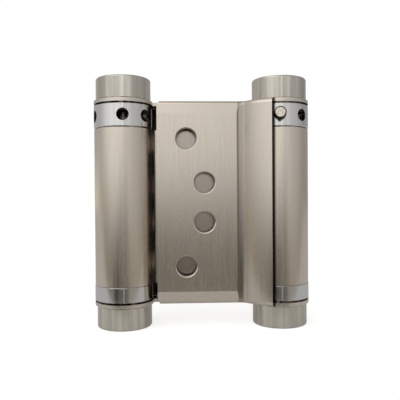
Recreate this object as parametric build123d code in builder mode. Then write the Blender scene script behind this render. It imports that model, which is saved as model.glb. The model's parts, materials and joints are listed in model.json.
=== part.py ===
from build123d import *
import math
import os

# Double action spring hinge, in millimetres.
# Two spring barrels stand side by side on one rolled steel web. Each barrel carries a leaf that folds over
# the web: the door leaf in front, on the right-hand barrel, and the frame leaf behind, on the left-hand one.
# The two halves are the same, half a turn apart about the middle of the hinge.
# Z runs up the barrels, the bottom caps stand on Z = 0, and the door leaf faces -Y.

# Sheet parts
leaf_height = 76.2
sheet = 1.3
barrel_spacing = 59.4
tube_diameter = 21.8
leaf_tip_gap = 1.8
leaf_front = 4.4
leaf_bend_radius = 1.8
mid_gap = 0.3
valley_radius = 3.0
shoulder_radius = 24.0
wrap_gap = 0.5
wrap_edge_angle = 22.0
ear_proud = 0.1
tip_cut = 0.9
tip_cut_height = 2.4

# Raised pad of a leaf
pad_rise = 0.6
pad_edge = 16.2
pad_side_slope = 0.7
pad_end_slope = 3.0

# Screw holes of a leaf
screw_hole_diameter = 7.5
screw_hole_round = 0.5
outer_hole_reach = 35.8
outer_hole_spacing = 47.6
inner_hole_reach = 29.0
inner_hole_spacing = 14.8

# Web between the barrels
web_bend_radius = 1.4
seam_angle = 7.0

# Turned parts
cap_set_back = 0.65
cap_height = 8.4
cap_round = 0.7
cap_seam_chamfer = 0.35
cap_bore_depth = 6.0
spindle_diameter = 8.0
spindle_chamfer = 0.6
collar_proud = 0.1
collar_chamfer = 0.3
collar_hollow_diameter = 13.6
collar_hollow_floor = 1.0
top_collar_height = 8.6
bottom_collar_height = 5.9
spigot_length = 3.0
washer_diameter = 16.0
washer_thickness = 0.4
tommy_holes = 7
tommy_hole_pitch = 48.0
holes_before_pin = 4
tommy_hole_diameter = 4.5
pin_diameter = 4.3
pin_reach = 4.8
pin_chamfer = 0.45
left_pin_slack = 25.4

# Torsion springs
spring_turns = 7
spring_wire_height = 4.4
spring_wire_width = 2.2
spring_wall_gap = 0.6
spring_end_gap = 0.4
tang_width = 3.0
tang_length = 1.6

# Clearances
running_clearance = 0.08
seat_clearance = 0.03
end_play = 0.05
collar_gap = 0.3
spigot_clearance = 0.06
tang_clearance = 0.15
pin_stand_off = 0.4

# Levels along the barrels
leaf_bottom = cap_height
leaf_top = leaf_bottom + leaf_height
middle_z = leaf_bottom + leaf_height / 2
low_washer_z = leaf_bottom + sheet
high_washer_z = leaf_top - sheet - washer_thickness
bottom_collar_z = low_washer_z + washer_thickness + end_play
tube_bottom = bottom_collar_z + bottom_collar_height
top_collar_z = high_washer_z - end_play - top_collar_height
tube_top = top_collar_z - collar_gap
tommy_z = top_collar_z + top_collar_height / 2

# Radii about a barrel's axis
half_spacing = barrel_spacing / 2
tube_radius = tube_diameter / 2
tube_bore = tube_radius - sheet
tube_middle = tube_radius - sheet / 2
leaf_reach = barrel_spacing - tube_radius - leaf_tip_gap
wrap_inner = tube_radius + wrap_gap
wrap_outer = wrap_inner + sheet
collar_radius = tube_radius + collar_proud
collar_wall = collar_radius - collar_hollow_diameter / 2
ear_radius = tube_radius + ear_proud
cap_radius = tube_radius - cap_set_back
spindle_radius = spindle_diameter / 2
spindle_seat = spindle_radius + seat_clearance
collar_bore = spindle_radius + running_clearance
pin_angle_off_edge = math.degrees(math.asin((pin_diameter / 2 + pin_stand_off) / wrap_inner))
pin_seat_angle = pin_angle_off_edge - wrap_edge_angle
spring_middle = tube_bore - spring_wall_gap - spring_wire_width / 2
spring_bottom = tube_bottom + spigot_length + spring_end_gap + spring_wire_height / 2
spring_top = top_collar_z - spigot_length - spring_end_gap - spring_wire_height / 2


def barrel_plane(height):
    """The level plane at a height, with its origin on the right-hand barrel's axis."""
    return Plane(origin=(half_spacing, 0, height))


def around(radius, degrees):
    """A point of a barrel's plan at an angle from the front, positive to the right."""
    turn = math.radians(degrees)
    return (radius * math.sin(turn), -radius * math.cos(turn))


def leaf_front_line(depth, left_x):
    """The leaf's plan at a depth below its outer face: flat panel, tight valley, long shoulder to the wrap's edge."""
    panel_y = depth - leaf_front
    valley = valley_radius + depth
    shoulder = shoulder_radius - depth
    edge = around(wrap_outer - depth, -wrap_edge_angle)
    hub = around(wrap_outer - shoulder_radius, -wrap_edge_angle)
    centre_y = -leaf_front - valley_radius
    centre_x = hub[0] - math.sqrt((shoulder + valley) ** 2 - (hub[1] - centre_y) ** 2)
    tilt = math.atan2(hub[0] - centre_x, hub[1] - centre_y)
    half_turn = (tilt + math.radians(wrap_edge_angle)) / 2
    meeting = (hub[0] - shoulder * math.sin(tilt), hub[1] - shoulder * math.cos(tilt))
    middle = (hub[0] - shoulder * math.sin(half_turn), hub[1] - shoulder * math.cos(half_turn))
    valley_middle = (centre_x + valley * math.sin(tilt / 2), centre_y + valley * math.cos(tilt / 2))
    Line((left_x, panel_y), (centre_x, panel_y))
    ThreePointArc((centre_x, panel_y), valley_middle, meeting)
    ThreePointArc(meeting, middle, edge)


def pad_plane(front):
    """The upright plane of the leaf's panel at a distance in front of the mid-plane."""
    origin = (half_spacing - leaf_reach, -front, middle_z)
    return Plane(origin=origin, x_dir=(1, 0, 0), z_dir=(0, -1, 0))


def pad_outline(rise):
    """The pad's outline, full size at its foot and drawn in by its slopes at its full rise."""
    share = rise / pad_rise
    width = leaf_reach - pad_edge - share * pad_side_slope
    height = leaf_height - 2 * leaf_bend_radius - 2 * share * pad_end_slope
    with Locations((width / 2, 0)):
        Rectangle(width, height)


# Space inside a pressed leaf, with the inside of its bends
with BuildPart() as leaf_cavity:
    with BuildSketch(barrel_plane(low_washer_z)):
        with BuildLine():
            left = -leaf_reach - sheet
            leaf_front_line(sheet, left)
            clear = 2 * wrap_outer
            Polyline(around(wrap_inner, -wrap_edge_angle), around(clear, -wrap_edge_angle), (clear, -clear),
                     (clear, clear), (left, clear), (left, sheet - leaf_front))
        make_face()
    extrude(amount=leaf_height - 2 * sheet)
    ends = leaf_cavity.faces().filter_by(Axis.Z).edges()
    front_ends = ends.filter_by(lambda e: e.center().Y < sheet - leaf_front + mid_gap)
    front_ends = front_ends.filter_by(lambda e: e.center().X < half_spacing)
    fillet(front_ends, leaf_bend_radius - sheet)

# Hollow behind the raised pad
with BuildPart() as pad_hollow:
    with BuildSketch(pad_plane(leaf_front - sheet)):
        pad_outline(0)
    with BuildSketch(pad_plane(leaf_front - sheet + pad_rise)):
        pad_outline(pad_rise)
    loft()

with BuildPart() as door_leaf:
    # Outer form of the pressing, its edges turned back towards the ears
    with BuildSketch(barrel_plane(leaf_bottom)):
        with BuildLine():
            leaf_front_line(0, -leaf_reach)
            flange_end = around(mid_gap / math.cos(math.radians(wrap_edge_angle)), -wrap_edge_angle)
            Polyline(around(wrap_outer, -wrap_edge_angle), flange_end, (-leaf_reach, -mid_gap),
                     (-leaf_reach, -leaf_front))
        make_face()
    extrude(amount=leaf_height)
    ends = door_leaf.faces().filter_by(Axis.Z).edges()
    bends = ends.filter_by(lambda e: e.center().Y < -leaf_front / 2 - mid_gap)
    bends = bends.filter_by(lambda e: e.center().X < half_spacing - wrap_outer / 3)
    fillet(bends, leaf_bend_radius)
    # Pad pressed forward out of the panel
    with BuildSketch(pad_plane(leaf_front)):
        pad_outline(0)
    with BuildSketch(pad_plane(leaf_front + pad_rise)):
        pad_outline(pad_rise)
    loft()
    # Ears round the spindle
    with BuildSketch(barrel_plane(leaf_bottom)):
        Circle(ear_radius)
    extrude(amount=leaf_height)
    add(leaf_cavity.part, mode=Mode.SUBTRACT)
    add(pad_hollow.part, mode=Mode.SUBTRACT)
    with BuildSketch(barrel_plane(leaf_bottom)):
        Circle(spindle_seat)
    extrude(amount=leaf_height, mode=Mode.SUBTRACT)
    # Screw holes
    with BuildSketch(pad_plane(leaf_front + pad_rise)):
        with Locations((leaf_reach - outer_hole_reach, 0)):
            with GridLocations(0, outer_hole_spacing, 1, 2):
                Circle(screw_hole_diameter / 2)
        with Locations((leaf_reach - inner_hole_reach, 0)):
            with GridLocations(0, inner_hole_spacing, 1, 2):
                Circle(screw_hole_diameter / 2)
    extrude(amount=-leaf_front, mode=Mode.SUBTRACT)
    rims = door_leaf.faces().filter_by(Axis.Y).sort_by(Axis.Y)[0].inner_wires().edges()
    fillet(rims, screw_hole_round)
    # The free edge's ends, cut back where the sheet turns round its bends
    with BuildSketch(pad_plane(leaf_front)):
        for end in (-1, 1):
            tip = end * leaf_height / 2
            with BuildLine():
                Polyline((0, tip), (tip_cut, tip), (0, tip - end * tip_cut_height), close=True)
            make_face()
    extrude(amount=leaf_front, both=True, mode=Mode.SUBTRACT)

# The web, rolled into a tube at each end
web_bend = web_bend_radius + sheet / 2
bend_x = -math.sqrt((tube_middle + web_bend) ** 2 - web_bend**2)
bend_reach = math.hypot(bend_x, web_bend)
bend_end = math.atan2(-web_bend, -bend_x)
bend_middle = (bend_end - math.pi / 2) / 2


def bend_point(radius, turn):
    """A point at a radius about the web bend's centre."""
    return (bend_x + radius * math.cos(turn), web_bend + radius * math.sin(turn))


def roll_side(radius, side):
    """One face of the sheet, from the mid-plane round its bend and the tube to the seam."""
    bend = web_bend - side * sheet / 2
    meeting = (bend_x * radius / bend_reach, web_bend * radius / bend_reach)
    Line((-half_spacing, side * sheet / 2), (bend_x, side * sheet / 2))
    ThreePointArc((bend_x, side * sheet / 2), bend_point(bend, bend_middle), meeting)
    ThreePointArc(meeting, (radius, 0), around(radius, seam_angle - 90))


with BuildPart() as centre_web:
    with BuildSketch(barrel_plane(tube_bottom)):
        with BuildLine():
            roll_side(tube_bore, -1)
            roll_side(tube_radius, 1)
            Line(around(tube_bore, seam_angle - 90), around(tube_radius, seam_angle - 90))
            Line((-half_spacing, -sheet / 2), (-half_spacing, sheet / 2))
        make_face()
    extrude(amount=tube_top - tube_bottom)
    add(centre_web.part, rotation=(0, 0, 180))

# Caps: turned, with a blind bore for the spindle's end
with BuildPart() as bottom_cap:
    with BuildSketch(barrel_plane(0)):
        Circle(cap_radius)
    extrude(amount=cap_height)
    fillet(bottom_cap.edges().sort_by(Axis.Z)[0], cap_round)
    chamfer(bottom_cap.edges().sort_by(Axis.Z)[-1], cap_seam_chamfer)
    with BuildSketch(barrel_plane(cap_height)):
        Circle(spindle_seat)
    extrude(amount=-cap_bore_depth, mode=Mode.SUBTRACT)

with BuildPart() as top_cap:
    with BuildSketch(barrel_plane(leaf_top)):
        Circle(cap_radius)
    extrude(amount=cap_height)
    fillet(top_cap.edges().sort_by(Axis.Z)[-1], cap_round)
    chamfer(top_cap.edges().sort_by(Axis.Z)[0], cap_seam_chamfer)
    with BuildSketch(barrel_plane(leaf_top)):
        Circle(spindle_seat)
    extrude(amount=cap_bore_depth, mode=Mode.SUBTRACT)

with BuildPart() as spindle:
    with BuildSketch(barrel_plane(cap_height - cap_bore_depth)):
        Circle(spindle_radius)
    extrude(amount=leaf_height + 2 * cap_bore_depth)
    chamfer(spindle.edges().filter_by(GeomType.CIRCLE), spindle_chamfer)

with BuildPart() as bottom_washer:
    with BuildSketch(barrel_plane(low_washer_z)):
        Circle(washer_diameter / 2)
        Circle(spindle_seat, mode=Mode.SUBTRACT)
    extrude(amount=washer_thickness)

with BuildPart() as top_washer:
    with BuildSketch(barrel_plane(high_washer_z)):
        Circle(washer_diameter / 2)
        Circle(spindle_seat, mode=Mode.SUBTRACT)
    extrude(amount=washer_thickness)


def tang_pocket(side):
    """The plan of a collar's pocket for the spring's tang, on one side of the radius to the right."""
    with Locations((spring_middle, side * tang_width / 2)):
        Rectangle(spring_wire_width + 2 * tang_clearance, tang_width + 2 * tang_clearance)


with BuildPart() as bottom_collar:
    with BuildSketch(barrel_plane(bottom_collar_z)):
        Circle(collar_radius)
    extrude(amount=bottom_collar_height)
    chamfer(bottom_collar.edges().filter_by(GeomType.CIRCLE), collar_chamfer)
    with BuildSketch(barrel_plane(tube_bottom)):
        Circle(tube_bore - seat_clearance)
    extrude(amount=spigot_length)
    with BuildSketch(barrel_plane(bottom_collar_z)):
        Circle(collar_bore)
    extrude(amount=bottom_collar_height + spigot_length, mode=Mode.SUBTRACT)
    with BuildSketch(barrel_plane(tube_bottom + spigot_length)):
        tang_pocket(1)
    extrude(amount=-tang_length - tang_clearance, mode=Mode.SUBTRACT)

with BuildPart() as spring:
    with BuildLine(barrel_plane(spring_bottom)):
        rise = spring_top - spring_bottom
        coil = Helix(pitch=rise / spring_turns, height=rise, radius=spring_middle)
    with BuildSketch(Plane(origin=coil @ 0, x_dir=(1, 0, 0), z_dir=coil % 0)):
        Rectangle(spring_wire_width, spring_wire_height)
    sweep(path=coil, is_frenet=True)
    # Tangs that reach into the pockets of the two collars
    with BuildSketch(barrel_plane(spring_bottom - spring_wire_height / 2 - spring_end_gap - tang_length)):
        with Locations((spring_middle, tang_width / 2)):
            Rectangle(spring_wire_width, tang_width)
    extrude(amount=tang_length + spring_end_gap + spring_wire_height / 2)
    with BuildSketch(barrel_plane(spring_top)):
        with Locations((spring_middle, -tang_width / 2)):
            Rectangle(spring_wire_width, tang_width)
    extrude(amount=tang_length + spring_end_gap + spring_wire_height / 2)


def tommy_plane(degrees):
    """The upright plane on a collar's outside, square to the tommy bar hole at an angle."""
    out = around(1, degrees)
    foot = (half_spacing + collar_radius * out[0], collar_radius * out[1], tommy_z)
    return Plane(origin=foot, z_dir=(out[0], out[1], 0))


def save(piece, name):
    """Names a finished piece and writes it."""
    piece.label = name
    export_step(piece, f"parts/{name}.step")


os.makedirs("parts", exist_ok=True)
save(door_leaf.part, "door_leaf")
save(centre_web.part, "centre_web")

with BuildPart() as frame_leaf:
    add(door_leaf.part, rotation=(0, 0, 180))
save(frame_leaf.part, "frame_leaf")

for side, turn, pin_angle in (("right", 0, pin_seat_angle), ("left", 180, pin_seat_angle + left_pin_slack)):
    # The collar that tensions the spring, hollow round the spindle, with tommy bar holes through its wall
    hole_steps = [step - holes_before_pin for step in range(tommy_holes)]
    tommy_planes = [tommy_plane(pin_angle + tommy_hole_pitch * step) for step in hole_steps]
    with BuildPart() as tension_collar:
        with BuildSketch(barrel_plane(top_collar_z)):
            Circle(collar_radius)
        extrude(amount=top_collar_height)
        chamfer(tension_collar.edges().filter_by(GeomType.CIRCLE), collar_chamfer)
        with BuildSketch(barrel_plane(top_collar_z - spigot_length)):
            Circle(tube_bore - spigot_clearance)
        extrude(amount=spigot_length)
        with BuildSketch(barrel_plane(top_collar_z - spigot_length)):
            Circle(collar_bore)
        extrude(amount=top_collar_height + spigot_length, mode=Mode.SUBTRACT)
        with BuildSketch(barrel_plane(top_collar_z + collar_hollow_floor)):
            Circle(collar_hollow_diameter / 2)
        extrude(amount=top_collar_height - collar_hollow_floor, mode=Mode.SUBTRACT)
        with BuildSketch(*tommy_planes):
            Circle(tommy_hole_diameter / 2)
        extrude(amount=-collar_wall - tommy_hole_diameter / 4, mode=Mode.SUBTRACT)
        with BuildSketch(barrel_plane(top_collar_z - spigot_length)):
            tang_pocket(-1)
        extrude(amount=tang_length + tang_clearance, mode=Mode.SUBTRACT)
    # The pin in one of those holes, which bears on the edge of the leaf's wrap
    with BuildPart() as stop_pin:
        with BuildSketch(tommy_plane(pin_angle).offset(-collar_wall)):
            Circle(pin_diameter / 2)
        extrude(amount=collar_wall + pin_reach)
        chamfer(stop_pin.edges().filter_by(GeomType.CIRCLE), pin_chamfer)
    pieces = {
        "top_cap": top_cap,
        "bottom_cap": bottom_cap,
        "spindle": spindle,
        "top_washer": top_washer,
        "bottom_washer": bottom_washer,
        "bottom_collar": bottom_collar,
        "spring": spring,
        "tension_collar": tension_collar,
        "stop_pin": stop_pin,
    }
    for name, master in pieces.items():
        with BuildPart() as placed:
            add(master.part, rotation=(0, 0, turn))
        save(placed.part, f"{side}_{name}")
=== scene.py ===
import json
import math

import bpy
from mathutils import Matrix, Vector

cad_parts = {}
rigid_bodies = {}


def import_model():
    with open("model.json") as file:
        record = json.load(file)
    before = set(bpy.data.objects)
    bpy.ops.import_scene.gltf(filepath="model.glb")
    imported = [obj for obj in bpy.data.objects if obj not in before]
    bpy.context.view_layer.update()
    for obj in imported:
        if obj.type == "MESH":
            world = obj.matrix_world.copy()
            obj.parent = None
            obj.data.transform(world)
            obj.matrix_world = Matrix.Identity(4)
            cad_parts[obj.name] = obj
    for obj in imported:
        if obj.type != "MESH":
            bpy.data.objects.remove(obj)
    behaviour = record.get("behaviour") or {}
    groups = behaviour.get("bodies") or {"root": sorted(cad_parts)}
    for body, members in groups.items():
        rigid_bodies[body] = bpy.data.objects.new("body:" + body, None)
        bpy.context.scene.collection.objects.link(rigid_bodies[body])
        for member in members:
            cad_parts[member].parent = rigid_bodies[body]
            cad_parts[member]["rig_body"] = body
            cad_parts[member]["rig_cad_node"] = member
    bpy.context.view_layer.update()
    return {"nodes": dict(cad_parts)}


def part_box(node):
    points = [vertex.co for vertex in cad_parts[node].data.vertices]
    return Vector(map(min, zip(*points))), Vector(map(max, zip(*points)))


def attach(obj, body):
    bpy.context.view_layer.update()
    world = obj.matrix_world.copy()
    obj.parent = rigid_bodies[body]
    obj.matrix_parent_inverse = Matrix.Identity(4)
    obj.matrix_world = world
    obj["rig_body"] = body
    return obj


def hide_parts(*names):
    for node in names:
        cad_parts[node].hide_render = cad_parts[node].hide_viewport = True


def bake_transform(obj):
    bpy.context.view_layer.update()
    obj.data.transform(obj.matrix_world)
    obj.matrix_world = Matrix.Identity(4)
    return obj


# A double action spring hinge in satin and polished steel, standing on its bottom caps as in a studio.
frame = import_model()

MM = 0.001

# Camera, in millimetres and degrees, as fitted to the barrels' ends in the photograph
CAMERA_PLACE = (-8.81, -188.15, 49.83)
CAMERA_YAW = -2.435
CAMERA_PITCH = -0.745
CAMERA_ROLL = 0.368
# Its focal length in pixels of a picture this many pixels wide, and its sensor's width in mm
FOCAL_PIXELS = 491.6
IMAGE_SIDE = 400
SENSOR = 36.0

# How bright the studio is by the angle round the hinge, from the lens's side at 0 and positive to the right
UPPER_STUDIO = ((-180, 0.4), (-131, 0.46), (-96, 0.5), (-80, 0.62), (-66, 0.8), (-47, 0.92), (-38, 0.98),
                (-30, 0.9), (-20, 1.0), (-10, 0.94), (2, 0.9), (9, 0.72), (17, 0.7), (26, 0.74), (39, 0.58),
                (56, 0.54), (75, 0.46), (100, 0.34), (180, 0.4))
LOWER_STUDIO = ((-180, 0.4), (-135, 1.0), (-112, 1.0), (-98, 0.45), (-70, 0.24), (-42, 0.19), (-36, 0.12),
                (-31, 0.03), (-22, 0.03), (-15, 0.09), (-8, 0.12), (2, 0.13), (10, 0.11), (18, 0.16),
                (28, 0.27), (45, 0.31), (62, 0.32), (90, 0.23), (107, 0.32), (120, 0.3), (180, 0.4))
# The lower part's warm tint, as red, green and blue
LOWER_TINT = (1.06, 1.0, 0.84)
# How much of the upper studio shows by height, from straight down at -1 to straight up at 1
STUDIO_RISE = ((-0.1, 0.0), (-0.06, 0.08), (-0.012, 0.45), (0.05, 0.8), (0.1, 1.0), (0.8, 1.0), (0.93, 0.35))
# How far the bright part reaches down beside the lens
STUDIO_DIP = ((-180, 0.0), (-75, 0.0), (-27, 0.05), (-8, 0.0), (12, 0.0), (26, 0.06), (60, 0.06), (95, 0.0),
              (180, 0.0))

# The floor's edges in metres from the hinge's middle. The near one is close, so the steel mirrors little floor
FLOOR_FRONT = -0.045
FLOOR_BACK = 1.2
FLOOR_SIDE = 1.2
FLOOR_COLOUR = "#D6D6D6"
# How much white the floor adds where the lens sees it, and what share of that a mirrored ray gets
FLOOR_WHITE = 0.68
FLOOR_MIRRORED = 0.12

# The hinge, in mm and degrees: a barrel's axis from the middle, and the cut edge of a leaf's wrap
BARREL_X = 29.7
WRAP_EDGE_ANGLE = -22.0
# The painted shade in the seam beside that edge: how far past it the shade starts to clear and is gone, and
# how far before it the wrap is unshaded. Nothing nearer to the barrel's axis than the radius is darkened
SEAM_START = 1.5
SEAM_END = 6.5
SEAM_BEFORE = 0.4
SEAM_INNER_RADIUS = 10.5
SEAM_SHADE_COLOUR = "#4A4238"
# How much painted shade darkens a leaf's valley, by the distance in mm across from its barrel's axis
SHADE_REACH = 60
LEAF_VALLEY_PAINTED_SHADE = ((0, 0.0), (13.9, 0.0), (14.6, 0.38), (16.2, 0.45), (16.6, 0.0), (SHADE_REACH, 0.0))
# The web is painted darker across its middle
WEB_SHADE = ((0, 0.0), (13.0, 0.0), (15.0, 0.33), (SHADE_REACH, 0.33))

# The brushed sheet's grain in mm along X, Y and Z: drawn coarser than real brushing so that it shows
BRUSHED_GRAIN = (0.32, 0.32, 13)
# How far apart the rings on a turned end are, in mm: drawn coarser than real ones so that they show
RING_PITCH = 0.35
# How high tool marks stand, in mm
MARK_HEIGHT = 0.02
# The part of the noise's range that is stretched over the marks' gloss, and over a turned piece's streaks
GLOSS_SPREAD = (0.3, 0.7)
STREAK_SPREAD = (0.35, 0.65)
# How much of a face's normal is upright where the face counts as looking up or down
UPRIGHT_SHARE = 0.8

# The stop pin: the radius in mm past which it is its bright end, and the size and height of its speckle in mm
PIN_END_RADIUS = 15.78
PIN_SPECKLE = 0.6
PIN_SPECKLE_HEIGHT = 0.05
PIN_SPECKLE_DEPTH = 0.3
# The pin's side colour is painted shade
PIN_SIDE_SHADE_COLOUR = "#24201D"
PIN_END_COLOURS = ((0.35, "#CFC4AE"), (0.6, "#F6F1E4"))
PIN_GLOSS = (0.25, 0.4)

# A spring's height in mm that lies in the collar above it, and that turns as one at each end
TANG_HEIGHT = 1.8
# How far in mm the tang is set off the coil it turns over
TANG_GAP = 0.05
# How near in mm two points of a packed spring have to be, to be joined before it is cut
WELD = 0.001

# Where a mix node has its share, its inputs and its result, for vectors and for colours
MIX_SHARE = 0
VECTOR_FIRST, VECTOR_SECOND, VECTOR_RESULT = 4, 5, 1
COLOUR_FIRST, COLOUR_SECOND, COLOUR_RESULT = 6, 7, 2
WHITE = (1, 1, 1, 1)
BLACK = (0, 0, 0, 1)


def linear(hex_colour):
    """An sRGB hex colour as linear light, with alpha."""
    parts = [int(hex_colour[i:i + 2], 16) / 255 for i in (1, 3, 5)]
    return tuple(p / 12.92 if p <= 0.04045 else ((p + 0.055) / 1.055) ** 2.4 for p in parts) + (1.0,)


def node(tree, kind, settings=None, links=None, **sockets):
    """Adds a node with its settings, its inputs' values and the outputs that feed its inputs."""
    made = tree.nodes.new(kind)
    for name, value in (settings or {}).items():
        setattr(made, name, value)
    for name, value in sockets.items():
        made.inputs[name.replace("_", " ")].default_value = value
    for name, source in (links or {}).items():
        tree.links.new(source, made.inputs[name])
    return made


def feed(tree, socket, source):
    """Feeds an input from an output, or sets it where the source is a plain value."""
    if isinstance(source, bpy.types.NodeSocket):
        tree.links.new(source, socket)
    else:
        socket.default_value = source


def maths(tree, operation, *inputs):
    """Adds a maths node fed by outputs and numbers, and gives its result."""
    made = node(tree, "ShaderNodeMath", {"operation": operation})
    for place, source in enumerate(inputs):
        feed(tree, made.inputs[place], source)
    return made.outputs[0]


def mix_colours(tree, share, first, second, blend_type="MIX"):
    """Mixes two colours by a share, and gives the result."""
    made = node(tree, "ShaderNodeMix", {"data_type": "RGBA", "blend_type": blend_type})
    feed(tree, made.inputs[MIX_SHARE], share)
    feed(tree, made.inputs[COLOUR_FIRST], first)
    feed(tree, made.inputs[COLOUR_SECOND], second)
    return made.outputs[COLOUR_RESULT]


def new_material(name):
    """A material with an empty node tree."""
    material = bpy.data.materials.new(name)
    material.use_nodes = True
    material.node_tree.nodes.clear()
    return material, material.node_tree


def level_ramp(tree, source, stops, low, high, tint=(1, 1, 1)):
    """Turns a value between low and high into the levels given at its stops, tinted."""
    share = node(tree, "ShaderNodeMapRange", links={"Value": source}, From_Min=low, From_Max=high)
    made = node(tree, "ShaderNodeValToRGB", links={"Fac": share.outputs["Result"]})
    ramp = made.color_ramp
    for spot, _ in stops[1:-1]:
        ramp.elements.new((spot - low) / (high - low))
    for stop, (spot, level) in zip(ramp.elements, stops):
        stop.position = (spot - low) / (high - low)
        stop.color = tuple(level * t for t in tint) + (1,)
    return made.outputs["Color"]


def object_place(tree):
    """Each point's X, Y and Z in metres in the hinge's own frame."""
    place = node(tree, "ShaderNodeTexCoord")
    return node(tree, "ShaderNodeSeparateXYZ", links={"Vector": place.outputs["Object"]}).outputs


def barrel_place(tree):
    """Each point's place about its own barrel: across and out in metres, and which side the barrel is on."""
    parts = object_place(tree)
    side = maths(tree, "SIGN", parts["X"])
    across = maths(tree, "SUBTRACT", parts["X"], maths(tree, "MULTIPLY", side, BARREL_X * MM))
    return across, parts["Y"], side


def barrel_radius(tree):
    """Each point's distance in mm from its own barrel's axis."""
    across, out, _ = barrel_place(tree)
    square = maths(tree, "ADD", maths(tree, "MULTIPLY", across, across), maths(tree, "MULTIPLY", out, out))
    return maths(tree, "DIVIDE", maths(tree, "SQRT", square), MM)


def barrel_angle(tree):
    """Each point's angle in degrees about its own barrel, 0 straight out of its leaf's face."""
    across, out, side = barrel_place(tree)
    outward = maths(tree, "MULTIPLY", maths(tree, "MULTIPLY", out, side), -1.0)
    return maths(tree, "DEGREES", maths(tree, "ARCTAN2", maths(tree, "MULTIPLY", across, side), outward))


def shade_from_barrel(tree, stops, piece):
    """Painted shade on a leaf, and a darker middle on the web, from 0 to 1 by the distance in mm across from
    its barrel's axis.
    """
    parts = object_place(tree)
    if piece == "leaf":
        # The leaf with its face at -Y has its barrel at +X, and the other leaf the reverse
        inward = maths(tree, "MULTIPLY", parts["X"], maths(tree, "SIGN", parts["Y"]))
    else:
        inward = maths(tree, "MULTIPLY", maths(tree, "ABSOLUTE", parts["X"]), -1.0)
    distance = maths(tree, "DIVIDE", maths(tree, "ADD", inward, BARREL_X * MM), MM)
    return level_ramp(tree, distance, stops, 0, SHADE_REACH)


def faces_up(tree):
    """Is 1 on faces that look up or down and 0 on upright ones."""
    surface = node(tree, "ShaderNodeNewGeometry")
    parts = node(tree, "ShaderNodeSeparateXYZ", links={"Vector": surface.outputs["True Normal"]})
    return maths(tree, "GREATER_THAN", maths(tree, "ABSOLUTE", parts.outputs["Z"]), UPRIGHT_SHARE)


def grain_place(tree, lay, grain):
    """Where each point lies in the grain: long along Z on upright faces, in rings on turned ends."""
    place = node(tree, "ShaderNodeTexCoord")
    scale = tuple(1 / (g * MM) for g in grain)
    stretch = node(tree, "ShaderNodeMapping", links={"Vector": place.outputs["Object"]}, Scale=scale)
    if lay == "upright":
        return stretch.outputs["Vector"]
    ring = maths(tree, "DIVIDE", barrel_radius(tree), RING_PITCH)
    rings = node(tree, "ShaderNodeCombineXYZ", links={"X": ring})
    chosen = node(tree, "ShaderNodeMix", {"data_type": "VECTOR"},
                  {MIX_SHARE: faces_up(tree), VECTOR_FIRST: stretch.outputs["Vector"],
                   VECTOR_SECOND: rings.outputs["Vector"]})
    return chosen.outputs[VECTOR_RESULT]


def across_marks(tree, lay):
    """The direction across the tool marks, in which a highlight spreads."""
    surface = node(tree, "ShaderNodeNewGeometry")
    if lay == "upright":
        along = node(tree, "ShaderNodeCombineXYZ", Z=1.0)
    else:
        across, out, _ = barrel_place(tree)
        back = maths(tree, "MULTIPLY", out, -1.0)
        along = node(tree, "ShaderNodeCombineXYZ", links={"X": back, "Y": across})
    spread = node(tree, "ShaderNodeVectorMath", {"operation": "CROSS_PRODUCT"},
                  {0: surface.outputs["Normal"], 1: along.outputs["Vector"]})
    return spread.outputs[0]


def seam_unshaded(tree):
    """Is 1 on unshaded metal, falling to 0 in the painted shade of the seam beside a wrap's cut edge."""
    angle = barrel_angle(tree)
    seam = node(tree, "ShaderNodeMapRange", {"interpolation_type": "SMOOTHSTEP"}, {"Value": angle},
                From_Min=WRAP_EDGE_ANGLE + SEAM_START, From_Max=WRAP_EDGE_ANGLE + SEAM_END)
    before = maths(tree, "LESS_THAN", angle, WRAP_EDGE_ANGLE - SEAM_BEFORE)
    within = maths(tree, "LESS_THAN", barrel_radius(tree), SEAM_INNER_RADIUS)
    return maths(tree, "MAXIMUM", maths(tree, "MAXIMUM", seam.outputs["Result"], before), within)


def steel(name, colour, roughness, lay, grain, grain_depth, streak, anisotropy, bands=0.0, darken_at=None):
    """Bare steel with tool marks upright or round its barrel, and a grain in mm along X, Y and Z.

    The marks change the roughness by the streak each way. A turned piece is darker by up to the bands' share,
    and a leaf or the web is painted darker by the given stops and kind of piece: painted shade in a leaf's
    valley, and a darker middle on the web.
    """
    material, tree = new_material(name)
    shader = node(tree, "ShaderNodeBsdfPrincipled", Metallic=1.0, Roughness=roughness, Anisotropic=anisotropy)
    node(tree, "ShaderNodeOutputMaterial", links={"Surface": shader.outputs["BSDF"]})
    # Fine marks: they vary the gloss a little and stand up
    marks = node(tree, "ShaderNodeTexNoise", links={"Vector": grain_place(tree, lay, grain)}, Scale=1.0,
                 Detail=4.0)
    gloss = node(tree, "ShaderNodeMapRange", links={"Value": marks.outputs["Fac"]}, From_Min=GLOSS_SPREAD[0],
                 From_Max=GLOSS_SPREAD[1], To_Min=roughness - streak, To_Max=roughness + streak)
    tree.links.new(gloss.outputs["Result"], shader.inputs["Roughness"])
    bump = node(tree, "ShaderNodeBump", links={"Height": marks.outputs["Fac"]}, Strength=grain_depth,
                Distance=MARK_HEIGHT * MM)
    tree.links.new(bump.outputs["Normal"], shader.inputs["Normal"])
    tree.links.new(across_marks(tree, lay), shader.inputs["Tangent"])
    # Painted shade in the seam beside a wrap's cut edge
    tint = mix_colours(tree, seam_unshaded(tree), linear(SEAM_SHADE_COLOUR), linear(colour))
    if darken_at:
        shade = shade_from_barrel(tree, *darken_at)
    else:
        # Turning marks catch the light in streaks
        streaks = node(tree, "ShaderNodeMapRange", links={"Value": marks.outputs["Fac"]},
                       From_Min=STREAK_SPREAD[0], From_Max=STREAK_SPREAD[1], To_Min=0.0, To_Max=bands)
        shade = streaks.outputs["Result"]
    tree.links.new(mix_colours(tree, shade, tint, BLACK, "MULTIPLY"), shader.inputs["Base Color"])
    return material


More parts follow.
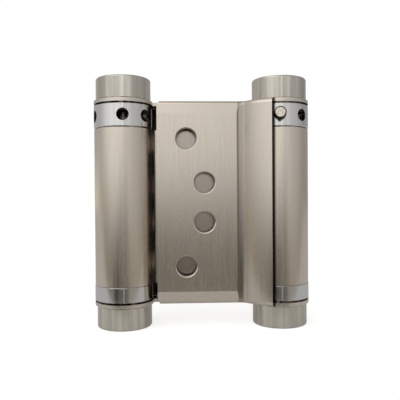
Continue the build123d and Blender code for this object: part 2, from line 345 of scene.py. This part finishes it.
def pin_steel():
    """A stop pin: painted nearly black along its side as shade, bright and a little rough where its end was
    sheared.
    """
    material, tree = new_material("pin_with_shade_dark_side_and_bright_end")
    place = node(tree, "ShaderNodeTexCoord")
    speckle = node(tree, "ShaderNodeTexNoise", links={"Vector": place.outputs["Object"]},
                   Scale=1 / (PIN_SPECKLE * MM), Detail=3.0)
    end = maths(tree, "GREATER_THAN", barrel_radius(tree), PIN_END_RADIUS)
    sheared = node(tree, "ShaderNodeValToRGB", links={"Fac": speckle.outputs["Fac"]})
    for stop, (spot, hex_colour) in zip(sheared.color_ramp.elements, PIN_END_COLOURS):
        stop.position = spot
        stop.color = linear(hex_colour)
    colour = mix_colours(tree, end, linear(PIN_SIDE_SHADE_COLOUR), sheared.outputs["Color"])
    gloss = node(tree, "ShaderNodeMapRange", links={"Value": speckle.outputs["Fac"]},
                 To_Min=PIN_GLOSS[0], To_Max=PIN_GLOSS[1])
    bump = node(tree, "ShaderNodeBump", links={"Height": speckle.outputs["Fac"]},
                Strength=PIN_SPECKLE_DEPTH, Distance=PIN_SPECKLE_HEIGHT * MM)
    shader = node(tree, "ShaderNodeBsdfPrincipled",
                  links={"Base Color": colour, "Roughness": gloss.outputs["Result"],
                         "Normal": bump.outputs["Normal"]}, Metallic=1.0)
    node(tree, "ShaderNodeOutputMaterial", links={"Surface": shader.outputs["BSDF"]})
    return material


def finish_cad_nodes():
    """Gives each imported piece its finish."""
    # Brushed stainless: a warm grey that softens every reflection sideways into upright bands
    # Its valley is darkened by painted shade
    leaf = steel("brushed_stainless_leaf", "#DCD2C5", roughness=0.25, lay="upright", grain=BRUSHED_GRAIN,
                 grain_depth=0.28, streak=0.04, anisotropy=0.5, darken_at=(LEAF_VALLEY_PAINTED_SHADE, "leaf"))
    # The same sheet, painted darker across its middle: seen through the screw holes it looks greyer
    web = steel("brushed_stainless_web", "#DFD5C8", roughness=0.25, lay="upright", grain=BRUSHED_GRAIN,
                grain_depth=0.28, streak=0.04, anisotropy=0.5, darken_at=(WEB_SHADE, "web"))
    # Turned stainless: crisp upright streaks round the caps and fine rings on their ends
    turned = steel("turned_stainless_cap", "#E2DCD0", roughness=0.2, lay="round", grain=(2.2, 2.2, 60),
                   grain_depth=0.1, streak=0.03, anisotropy=0.9, bands=0.26)
    # Polished steel: colder and nearly a mirror, so the collars show the studio's darkest and brightest bands
    polished = steel("polished_steel_collar", "#DEDCDB", roughness=0.13, lay="round", grain=(6, 6, 0.3),
                     grain_depth=0.3, streak=0.02, anisotropy=0.7)
    # Ground steel painted dark as shade, so that the tommy bar holes look deep
    spindle = steel("ground_spindle_painted_dark_as_shade", "#5C564F", roughness=0.18, lay="round", grain=(0.5, 0.5, 0.5),
                    grain_depth=0.2, streak=0.03, anisotropy=0.0)
    # Oil tempered wire: nearly black and dull, as far as it can be seen at all
    spring = steel("oil_tempered_spring_wire", "#5A5652", roughness=0.4, lay="round", grain=(0.5, 0.5, 0.5),
                   grain_depth=0.3, streak=0.05, anisotropy=0.2)
    # Stop pin: its side painted nearly black as shade, as dark as the hole round it, and its sheared end is a
    # bright spot
    pin = pin_steel()
    by_kind = {
        "leaf": leaf, "web": web, "cap": turned, "collar": polished, "spindle": spindle,
        "washer": turned, "spring": spring, "pin": pin,
    }
    for name, piece in frame["nodes"].items():
        material = by_kind[name.split("_")[-1]]
        for slot in piece.material_slots:
            slot.material = material


def cut_spring(side, name, height, keep_above):
    """A copy of a packed spring's part above or below a height in metres."""
    bpy.ops.object.select_all(action="DESELECT")
    packed = frame["nodes"][f"{side}_spring"]
    packed.select_set(True)
    bpy.context.view_layer.objects.active = packed
    bpy.ops.object.duplicate()
    part = bpy.context.object
    bpy.ops.object.parent_clear(type="CLEAR_KEEP_TRANSFORM")
    bpy.ops.object.mode_set(mode="EDIT")
    bpy.ops.mesh.select_all(action="SELECT")
    bpy.ops.mesh.remove_doubles(threshold=WELD * MM)
    bpy.ops.mesh.normals_make_consistent(inside=False)
    bpy.ops.mesh.bisect(plane_co=(0, 0, height), plane_no=(0, 0, 1), use_fill=True,
                        clear_inner=keep_above, clear_outer=not keep_above)
    bpy.ops.object.mode_set(mode="OBJECT")
    part.name = f"{side}_{name}"
    # The copy isn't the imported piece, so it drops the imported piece's marks
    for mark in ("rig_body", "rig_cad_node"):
        del part[mark]
    return part


def wind_spring(side):
    """A spring between the web and its leaf, cut into its coil and its upper tang, which goes with its tension
    collar.
    """
    low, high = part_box(f"{side}_spring")
    top = high.z - TANG_HEIGHT * MM
    coil = cut_spring(side, "spring_coil", top, False)
    tang = cut_spring(side, "spring_upper_tang", top + TANG_GAP * MM, True)
    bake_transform(coil)
    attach(tang, f"{side}_tension")
    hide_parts(f"{side}_spring")


def place_camera():
    """Stands the camera where the photograph was taken from."""
    yaw, pitch, roll = (math.radians(a) for a in (CAMERA_YAW, CAMERA_PITCH, CAMERA_ROLL))
    turn = Matrix.Rotation(yaw, 3, "Z") @ Matrix.Rotation(pitch, 3, "X") @ Matrix.Rotation(roll, 3, "Y")
    to_lens = Matrix(((1, 0, 0), (0, 0, -1), (0, 1, 0)))
    data = bpy.data.cameras.new("camera")
    data.sensor_width = SENSOR
    data.lens = FOCAL_PIXELS / IMAGE_SIDE * SENSOR
    camera = bpy.data.objects.new("camera", data)
    bpy.context.collection.objects.link(camera)
    camera.matrix_world = Matrix.Translation(Vector(CAMERA_PLACE) * MM) @ (turn @ to_lens).to_4x4()
    bpy.context.scene.camera = camera


def area_light(name, place, target, size, watts):
    """A rectangular lamp at a place in metres, facing a target."""
    data = bpy.data.lights.new(name, "AREA")
    data.shape = "RECTANGLE"
    data.size, data.size_y = size
    data.energy = watts
    lamp = bpy.data.objects.new(name, data)
    bpy.context.collection.objects.link(lamp)
    lamp.location = place
    lamp.rotation_euler = (Vector(target) - Vector(place)).to_track_quat("-Z", "Y").to_euler()


def make_floor():
    """A pale floor that shows white to the lens and keeps the hinge's shadow."""
    bpy.ops.object.select_all(action="DESELECT")
    bpy.ops.mesh.primitive_plane_add(size=1.0, location=(0, (FLOOR_BACK + FLOOR_FRONT) / 2, 0))
    floor = bpy.context.object
    floor.name = "floor"
    floor.scale = (2 * FLOOR_SIDE, FLOOR_BACK - FLOOR_FRONT, 1)
    bpy.ops.object.transform_apply(location=True, rotation=True, scale=True)
    material, tree = new_material("white_floor_board")
    paint = node(tree, "ShaderNodeBsdfDiffuse", Color=linear(FLOOR_COLOUR))
    white = node(tree, "ShaderNodeEmission", Color=WHITE, Strength=FLOOR_WHITE)
    path = node(tree, "ShaderNodeLightPath")
    mirrored = maths(tree, "MULTIPLY", path.outputs["Is Glossy Ray"], FLOOR_MIRRORED)
    share = maths(tree, "MAXIMUM", path.outputs["Is Camera Ray"], mirrored)
    glow = node(tree, "ShaderNodeMixShader", links={0: share, 2: white.outputs[0]})
    shown = node(tree, "ShaderNodeAddShader", links={0: paint.outputs[0], 1: glow.outputs[0]})
    node(tree, "ShaderNodeOutputMaterial", links={"Surface": shown.outputs[0]})
    floor.data.materials.append(material)


def make_studio():
    """The studio that the steel mirrors: bright above the lens, dim and warm below it, white to the lens."""
    world = bpy.data.worlds.new("studio")
    bpy.context.scene.world = world
    world.use_nodes = True
    tree = world.node_tree
    tree.nodes.clear()
    place = node(tree, "ShaderNodeTexCoord")
    parts = node(tree, "ShaderNodeSeparateXYZ", links={"Vector": place.outputs["Generated"]})
    front = maths(tree, "MULTIPLY", parts.outputs["Y"], -1.0)
    degrees = maths(tree, "DEGREES", maths(tree, "ARCTAN2", parts.outputs["X"], front))
    upper = level_ramp(tree, degrees, UPPER_STUDIO, -180, 180)
    lower = level_ramp(tree, degrees, LOWER_STUDIO, -180, 180, LOWER_TINT)
    dip = level_ramp(tree, degrees, STUDIO_DIP, -180, 180)
    rise = level_ramp(tree, maths(tree, "ADD", parts.outputs["Z"], dip), STUDIO_RISE, -1, 1)
    both = mix_colours(tree, rise, lower, upper)
    sky = node(tree, "ShaderNodeBackground", links={"Color": both}, Strength=1.0)
    seen = node(tree, "ShaderNodeBackground", Color=WHITE, Strength=1.0)
    ray = node(tree, "ShaderNodeLightPath")
    shown = node(tree, "ShaderNodeMixShader",
                 links={0: ray.outputs["Is Camera Ray"], 1: sky.outputs[0], 2: seen.outputs[0]})
    node(tree, "ShaderNodeOutputWorld", links={"Surface": shown.outputs[0]})


place_camera()
finish_cad_nodes()
wind_spring("right")
wind_spring("left")
make_floor()
make_studio()
# A soft box above and to the left gives the feet their shadow, and a tall narrow strip the upright highlights
area_light("soft_box", place=(-0.3, -0.3, 0.7), target=(0, 0, 0.04), size=(0.8, 0.8), watts=0.9)
area_light("strip_lamp", place=(0.04, -1.5, 0.05), target=(0, 0, 0.05), size=(0.025, 1.2), watts=0.08)
bpy.context.scene.view_settings.view_transform = "Standard"
